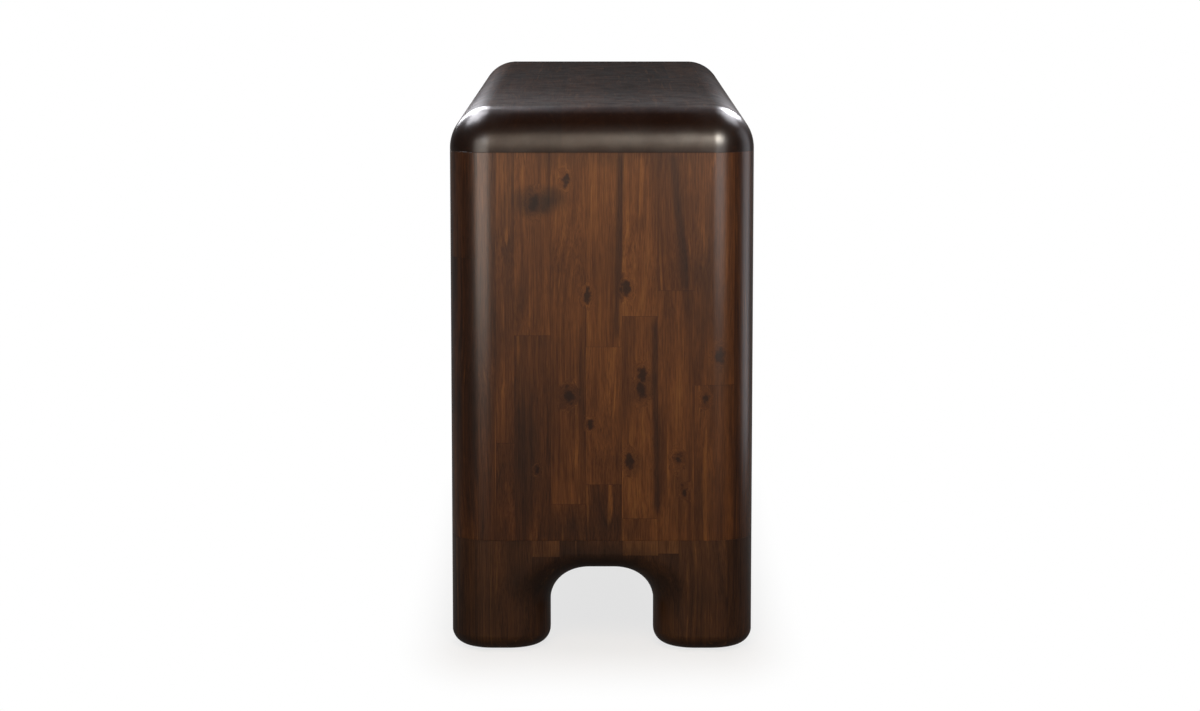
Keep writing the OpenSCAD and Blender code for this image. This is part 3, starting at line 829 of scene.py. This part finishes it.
def screw_tree():
    """A node tree that puts a domed head with a cross recess on each point, along its facing."""
    tree, given = shape_tree("screw_heads", "Head Radius", "Head Height", "Recess")
    half_height = times(given["Head Height"], 0.5)
    head = put("GeometryNodeMeshCylinder",
               {"Vertices": 16, "Side Segments": 1, "Fill Segments": 2, "Radius": given["Head Radius"],
                "Depth": half_height})["Mesh"]
    place = put("GeometryNodeInputPosition", tree=tree)[0]
    out = calc("DIVIDE", size_of(stretch(place, (1, 1, 0))), given["Head Radius"])
    dome = times(calc("SUBTRACT", 1.0, times(out, out)), half_height)
    rise = times(dome, calc("GREATER_THAN", split(place)[2], 0.0))
    lift = join(z=calc("MULTIPLY_ADD", half_height, 0.5, rise))
    domed = put("GeometryNodeSetPosition", {"Geometry": head, "Offset": lift})[0]
    long_side = times(given["Head Radius"], 1.25)
    bars = []
    for long_x, long_y in ((long_side, given["Recess"]), (given["Recess"], long_side)):
        bar = put("GeometryNodeMeshCube", {"Size": join(long_x, long_y, given["Head Height"])})
        bars.append(moved_up(bar["Mesh"], given["Head Height"]))
    slotted = put("GeometryNodeMeshBoolean", {0: domed, 1: together(bars)}, operation="DIFFERENCE")[0]
    facing = put("GeometryNodeInputNamedAttribute", {"Name": "facing"}, tree, data_type="FLOAT_VECTOR")
    turn = put("FunctionNodeAlignRotationToVector", {"Vector": facing[0]}, axis="Z")[0]
    placed = put("GeometryNodeInstanceOnPoints",
                 {"Points": given["Geometry"], "Instance": slotted, "Rotation": turn})[0]
    finish_shape(placed, given)
    return tree


screw_heads = screw_tree()


def steel_finish(name, tint, streak):
    """Zinc-plated steel; streak is how the surface was rolled or turned."""
    material, tree, shader = new_finish(name)
    place = where(tree)
    lines = noise(place, streak, 3.0, 0.6)
    dim = [0.72 * c for c in tint]
    colour = colour_ramp(vary(noise(place, 160.0), 0.5, lines), [(0.3, *dim), (0.7, *tint)])
    feed(shader, {"Base Color": colour, "Roughness": fade(lines, 0.3, 0.7, 0.50, 0.62), "Metallic": 1.0})
    return material


screw_steel = steel_finish("screw_steel", (0.20, 0.195, 0.19), (900, 900, 900))


def screws(name, places, head, body, replaced=None):
    """One piece with all the screws of one body; places are (point, facing), and head has its sizes."""
    piece = new_piece(name)
    piece.data.from_pydata([point for point, _ in places], [], [])
    facing = piece.data.attributes.new("facing", "FLOAT_VECTOR", "POINT")
    for i, (_, way) in enumerate(places):
        facing.data[i].vector = way
    grow(piece, screw_heads, {**head, "Finish": screw_steel})
    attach(piece, body)
    if replaced:
        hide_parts(replaced)


back_screw_head = {"Head Radius": 0.004, "Head Height": 0.002, "Recess": 0.0011}
back_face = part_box("back_panel_right")[1].y
screw_edge = 0.006
end_screw_x = column_out + back_rebate / 2
screw_low, screw_high = base_h + 0.030, case_top - 0.012
upright_screws, rail_screws = 5, 3
rail_screw_z = (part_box("back_rail")[0].z + case_top) / 2
back_places = []
for side in (-1, 1):
    for i in range(upright_screws):
        z = screw_low + (screw_high - screw_low) * i / (upright_screws - 1)
        back_places += [((side * x, back_face, z), (0, 1, 0)) for x in (screw_edge, end_screw_x)]
    for i in range(1, rail_screws + 1):
        x = screw_edge + (end_screw_x - screw_edge) * i / (rail_screws + 1)
        back_places.append(((side * x, back_face, rail_screw_z), (0, 1, 0)))
screws("back_screw_heads", back_places, back_screw_head, "case", "back_screws")

# Top slab: long staves, glued edge to edge and end to end. One radius rounds
# its upper edges and its corners, and two hollows underneath lighten it.


def slab_tree():
    """A node tree that wraps four round corner posts into one slab."""
    tree, given = shape_tree("rounded_slab", "Length", "Depth", "Thickness", "Radius", "Underside")
    ball = put("GeometryNodeMeshUVSphere", {"Segments": 4 * round_steps, "Rings": 2 * round_steps,
                                            "Radius": given["Radius"]})["Mesh"]
    up = split(put("GeometryNodeInputPosition", tree=tree)[0])[2]
    below = put("FunctionNodeCompare", {0: up, 1: -1e-5}, operation="LESS_THAN")[0]
    dome = put("GeometryNodeDeleteGeometry", {"Geometry": ball, "Selection": below})[0]
    raised = moved_up(dome, calc("SUBTRACT", given["Thickness"], given["Radius"]))
    foot = put("GeometryNodeMeshCircle", {"Vertices": 4 * round_steps, "Radius": given["Radius"]})
    post = together([raised, foot["Mesh"]])
    long_x, long_y = [calc("MULTIPLY_ADD", given["Radius"], -2.0, given[way]) for way in ("Length", "Depth")]
    corners = put("GeometryNodeMeshGrid",
                  {"Size X": long_x, "Size Y": long_y, "Vertices X": 2, "Vertices Y": 2})["Mesh"]
    posts = put("GeometryNodeInstanceOnPoints", {"Points": corners, "Instance": post})[0]
    real = put("GeometryNodeRealizeInstances", {0: posts})[0]
    wrapped = put("GeometryNodeConvexHull", {0: real})[0]
    finish_shape(moved_up(wrapped, given["Underside"]), given)
    return tree


# Painted shade: the top's stain is tinted almost black, darker than the ends, because of how the light falls
# on the top
top_stain_and_shade = stained_wood("top_stain_and_shade", grain=0, tint=(0.32, 0.29, 0.33), end_dark=0.80, rubbed=True)
top = new_piece("top_board")
grow(top, slab_tree(), {"Length": 2 * half_length, "Depth": 2 * half_depth, "Thickness": height - case_top,
                        "Radius": edge_r, "Underside": case_top, "Finish": top_stain_and_shade})
bm = bmesh.new()
bm.from_mesh(top.data)
bmesh.ops.dissolve_limit(bm, angle_limit=math.radians(0.4), verts=bm.verts, edges=bm.edges)
bm.to_mesh(top.data)
bm.free()
column_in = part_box("centre_partition")[1].x
relief_margin = 0.020
relief_h = 0.036
relief_y = half_depth - edge_r - relief_margin
for side in (-1, 1):
    x0, x1 = sorted((side * (column_in + relief_margin), side * (column_out - relief_margin)))
    combine(top, block(x0, x1, -relief_y, relief_y, case_top - overshoot, case_top + relief_h), "DIFFERENCE")
glue_by_chance(top, 1, 0, (-half_depth, half_depth), (-half_length, half_length), width=0.055, longest=0.9,
               seed=41, tone_range=(0.38, 0.56))
stand_for(top, "top_slab", top_stain_and_shade)

# Drawer slides: three telescopic members of zinc-plated steel at each side of
# a drawer, screwed through their webs to the case and to the drawer box.
slide_steel = steel_finish("slide_steel", (0.17, 0.175, 0.18), (120, 6, 700))
slide_web = 0.0012
slide_depth = 0.0127
slide_hole_at = (0.09, 0.45, 0.82)
slide_screw_head = {"Head Radius": 0.0021, "Head Height": 0.0006, "Recess": 0.0007}
head_seat = 0.4 * slide_web
bays = [(f"{row}_{column}", side) for row in ("bottom", "middle", "top")
        for column, side in (("left", -1), ("right", 1))]
dress(["slide_cabinet_members"], slide_steel)
cabinet_places = []
for bay, side in bays:
    body = f"drawer_{bay}"
    dress([f"slide_middles_{bay}", f"{body}_runners"], slide_steel)
    low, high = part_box(f"{body}_runners")
    z = (low.z + high.z) / 2
    runner_places = []
    for share in slide_hole_at:
        y = low.y + (high.y - low.y) * share
        for wall, way in ((column_in, side), (column_out, -side)):
            on_wall = side * wall + way * head_seat
            on_box = side * wall + way * (slide_depth - head_seat)
            cabinet_places.append(((on_wall, y, z), (way, 0, 0)))
            runner_places.append(((on_box, y, z), (-way, 0, 0)))
    screws(f"runner_screws_{bay}", runner_places, slide_screw_head, body)
screws("slide_screws", cabinet_places, slide_screw_head, "case")

# Drawer boxes: pale hardwood boards, dovetailed at all four corners and sealed
# with matt lacquer. The plywood bottoms ride in grooves.
box_stops = [(0.20, 0.300, 0.170, 0.085), (0.50, 0.440, 0.270, 0.145), (0.80, 0.560, 0.370, 0.215)]
side_board = board_finish("box_side_board", 1, box_stops, coat=0.10, width=0.08)
cross_board = board_finish("box_cross_board", 0, box_stops, coat=0.10, width=0.08)
bottom_stops = [(0.30, 0.400, 0.265, 0.150), (0.50, 0.510, 0.355, 0.215), (0.72, 0.610, 0.450, 0.290)]
bottom_board = panel_finish("box_bottom_ply", 0, bottom_stops)
for bay, _ in bays:
    dress([f"drawer_{bay}_sides"], side_board)
    dress([f"drawer_{bay}_inner_front", f"drawer_{bay}_back"], cross_board)
    dress([f"drawer_{bay}_bottom"], bottom_board)

# Drawer fronts: stained staves laid flat, one front for each box. Behind a
# narrow level lip the top edge falls away, so that fingers can pull there.
front_stain = stained_wood("front_stain", grain=0)
finger_lip = 0.006
front_edge_r, front_edge_steps = 0.003, 4
front_screw_head = {"Head Radius": 0.0045, "Head Height": 0.0024, "Recess": 0.0012}
front_screw_in, front_screw_up, front_screw_down = 0.10, 0.045, 0.035
for number, (bay, _) in enumerate(bays):
    body = f"drawer_{bay}"
    low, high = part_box(f"{body}_front")
    fall = (high.y - low.y) - finger_lip
    bends = [(front_edge_r * (1 - math.sin(a)), front_edge_r * (1 - math.cos(a)))
             for a in quarter(front_edge_steps)]
    profile = [(low.y + y, low.z + z) for y, z in bends] + [(low.y + z, high.z - y) for y, z in bends]
    profile += [(low.y + finger_lip, high.z), (high.y, high.z - fall), (high.y, low.z)]
    front = long_piece(f"{body}_face", low.x, high.x, profile)
    glue_by_chance(front, 2, 0, (low.z, high.z), (low.x, high.x), width=0.058, longest=0.5,
                   seed=51 + number, tone_range=(0.46, 0.66))
    stand_for(front, f"{body}_front", front_stain, body)
    inner_low, inner_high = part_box(f"{body}_inner_front")
    places = [((x, inner_high.y, z), (0, 1, 0))
              for x in (inner_low.x + front_screw_in, inner_high.x - front_screw_in)
              for z in (inner_low.z + front_screw_up, inner_high.z - front_screw_down)]
    screws(f"front_screws_{bay}", places, front_screw_head, body)

# Dowels: round beech pegs, left bare. They join the ends to the bases and the
# top, and the aprons to the bases.
dress(["case_dowels"], board_finish("dowel_beech", 2, box_stops, coat=0.0, width=0.03))

# The floor is pale and plain. It is as white as the backdrop, except for a
# soft shadow that hugs the dresser. The studio is dimmer on the camera's side.
floor_half = 14.0
shadow_in, shadow_reach, side_factor = 0.05, 0.36, 2.5
floor = new_piece("floor")
floor_corners = [(x * floor_half, y * floor_half, 0) for x, y in ((-1, -1), (1, -1), (1, 1), (-1, 1))]
floor.data.from_pydata(floor_corners, [], [(0, 1, 2, 3)])
floor_finish = bpy.data.materials.new("pale_floor")
floor_finish.use_nodes = True
tree = floor_finish.node_tree
tree.nodes.clear()


def background_rays(tree):
    """1 for rays that show the background: the camera's, and those off gloss and through glass."""
    rays = put("ShaderNodeLightPath", tree=tree)
    seen = calc("MAXIMUM", rays["Is Camera Ray"], rays["Is Glossy Ray"])
    return calc("MAXIMUM", seen, rays["Is Transmission Ray"])


def backdrop_white(tree, dimmed):
    """White for the camera, and dimmed for reflections."""
    camera_ray = put("ShaderNodeLightPath", tree=tree)["Is Camera Ray"]
    return put("ShaderNodeMix", {0: camera_ray, 2: dimmed, 3: 1.0}, data_type="FLOAT")[0]


place = split(where(tree))
past_end, past_side = [calc("MAXIMUM", calc("SUBTRACT", calc("ABSOLUTE", place[i]), half - shadow_in), 0.0)
                       for i, half in ((0, half_length), (1, half_depth))]
away = size_of(join(past_end, times(past_side, side_factor)))
shadow_share = fade(away, 0.0, shadow_reach, 0.25, 0.0)
lit_colour = blend(background_rays(tree), (0.34, 0.34, 0.34, 1), (0.72, 0.72, 0.72, 1))
lit = put("ShaderNodeBsdfDiffuse", {"Color": lit_colour})[0]
glow = backdrop_white(tree, fade(place[0], 0.0, 0.9, 0.5, 0.2))
white = put("ShaderNodeEmission", {"Color": (1, 1, 1, 1), "Strength": glow})[0]
whiteness = times(background_rays(tree), calc("SUBTRACT", 1.0, shadow_share))
mixed = put("ShaderNodeMixShader", {0: whiteness, 1: lit, 2: white})[0]
put("ShaderNodeOutputMaterial", {"Surface": mixed})
floor.data.materials.append(floor_finish)

# The backdrop is white all round. Reflections show it brightest behind the
# dresser, under a dark ceiling, and dim on the camera's side.
world = bpy.data.worlds.new("backdrop")
world.use_nodes = True
scene.world = world
tree = world.node_tree
tree.nodes.clear()
way = split(where(tree, "Generated"))
behind = fade(way[0], -0.94, -0.60, 1.0, 0.25)
above = times(fade(way[2], 0.03, 0.28, 0.50, 0.72), fade(way[2], 0.50, 0.84, 1.0, 0.10))
shown = backdrop_white(tree, times(behind, above))
strength = put("ShaderNodeMix", {0: background_rays(tree), 2: 0.15, 3: shown}, data_type="FLOAT")[0]
sky = put("ShaderNodeBackground", {"Color": (1, 1, 1, 1), "Strength": strength})[0]
put("ShaderNodeOutputWorld", {"Surface": sky})

# Softboxes. Brightness is what a mirror would show of a box. A lamp can give
# light and shine, or only one of the two.


def softbox(name, place, aim, width, tall, brightness, colour, light=True, shine=True):
    """A soft lamp at a place, turned to face the point it is aimed at."""
    data = bpy.data.lights.new(name, "AREA")
    data.shape = "RECTANGLE"
    data.size, data.size_y = width, tall
    data.energy = brightness * math.pi * width * tall
    data.color = colour
    lamp = bpy.data.objects.new(name, data)
    lamp.location = place
    lamp.rotation_mode = "QUATERNION"
    lamp.rotation_quaternion = (Vector(aim) - Vector(place)).to_track_quat("-Z", "Y")
    lamp.visible_camera = False
    lamp.visible_diffuse = light
    lamp.visible_glossy = shine
    scene.collection.objects.link(lamp)


def toward(start, azimuth, elevation, distance):
    """The place seen from start in that direction; azimuth 0 is the camera's side."""
    a, e = math.radians(azimuth), math.radians(elevation)
    way = Vector((math.cos(a) * math.cos(e), math.sin(a) * math.cos(e), math.sin(e)))
    return Vector(start) + way * distance


warm, plain, cool = (1.0, 0.78, 0.56), (1.0, 1.0, 1.0), (0.94, 0.94, 1.0)
edge = (half_length - edge_r, 0, height - edge_r)
left = (half_length - edge_r, -half_depth + edge_r, 0.75)
right = (half_length - edge_r, half_depth - edge_r, 0.75)
softbox("key", toward(edge, 0, 21.5, 1.42), edge, 1.05, 0.94, 6.1, warm)

# Shine only, as (name, corner it faces, azimuth, elevation, distance, width, tall, brightness, colour)
for name, corner, azimuth, elevation, distance, width, tall, brightness, colour in (
        ("left_strip", left, -28, 4.6, 1.5, 1.00, 1.12, 13.5, (1.0, 0.94, 0.85)),
        ("right_strip", right, 22, 7.6, 1.5, 0.75, 1.10, 10.5, plain),
        ("right_spot", right, 20, 27, 2.0, 0.62, 0.62, 140.0, (1.0, 0.96, 0.86)),
        ("left_spot", left, -20, 24, 2.0, 0.62, 0.62, 17.0, plain),
        ("right_rim", right, 107, 1.5, 1.2, 0.62, 1.34, 5.7, cool),
        ("back_left", left, -160, 30, 2.3, 0.90, 1.35, 54.0, cool),
        ("high_left", left, -128, 54, 2.3, 1.30, 1.10, 52.0, cool),
        ("back_right", right, 155, 32, 2.3, 0.62, 0.62, 250.0, cool),
        ("high_right", right, 128, 50, 2.3, 1.30, 1.00, 26.0, cool)):
    softbox(name, toward(corner, azimuth, elevation, distance), corner, width, tall, brightness, colour,
            light=False)

middle = (0, 0, 0.4)
softbox("back_fill", toward(edge, 160, 14, 4.0), middle, 2.6, 1.6, 2.2, plain, shine=False)
softbox("front_side", toward(edge, -92, 30, 3.4), middle, 2.6, 1.6, 1.5, plain, shine=False)
